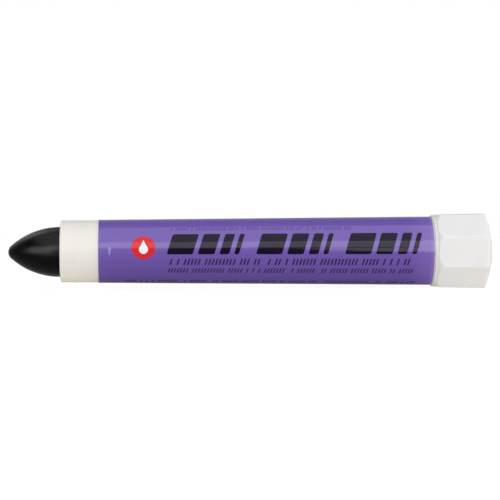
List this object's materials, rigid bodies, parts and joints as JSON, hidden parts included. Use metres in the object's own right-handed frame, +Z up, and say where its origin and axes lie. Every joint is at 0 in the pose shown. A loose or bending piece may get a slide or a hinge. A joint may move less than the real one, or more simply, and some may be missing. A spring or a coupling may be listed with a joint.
{
  "type": "solid paint marker",
  "caption": "Twist-up solid paint marker: a black bullet-nosed paint stick in a tapered cream barrel with a wrap label, fed by an eight-sided knob.",
  "frame": {"origin": "below the middle of the marker's length, at the height of the lowest flat of its knob", "axes": "+X along the marker's axis from the paint tip to the knob, +Z up, +Y away from the side shown in the picture"},
  "size_m": [0.12, 0.0186, 0.0185],
  "materials": {
    "barrel_plastic": "satin moulded cream polypropylene",
    "label_film": "glossy printed purple film",
    "solid_paint": "waxy black solid paint",
    "carrier_plastic": "moulded natural polypropylene",
    "screw_plastic": "moulded natural acetal",
    "knob_plastic": "satin moulded white polypropylene",
    "seal_rubber": "black nitrile rubber"
  },
  "bodies": {
    "barrel": {"barrel": "barrel_plastic", "label": "label_film"},
    "knob": {"twist_knob": "knob_plastic", "lead_screw": "screw_plastic", "knob_seal": "seal_rubber"},
    "feed": {"stick_carrier": "carrier_plastic", "paint_stick": "solid_paint"}
  },
  "joints": [
    {"name": "knob_turn", "type": "hinge", "parent": "barrel", "child": "knob", "pos_m": [0.04612, 0, 0.00925], "axis": [-1, 0, 0], "range_deg": [-972, 3960]},
    {"name": "stick_feed", "type": "slide", "parent": "barrel", "child": "feed", "axis": [-1, 0, 0], "range_m": [-0.0135, 0.055]}
  ],
  "couplings": [
    {"joint": "stick_feed", "follows": "knob_turn", "m_per_rad": 0.00079577}
  ]
}
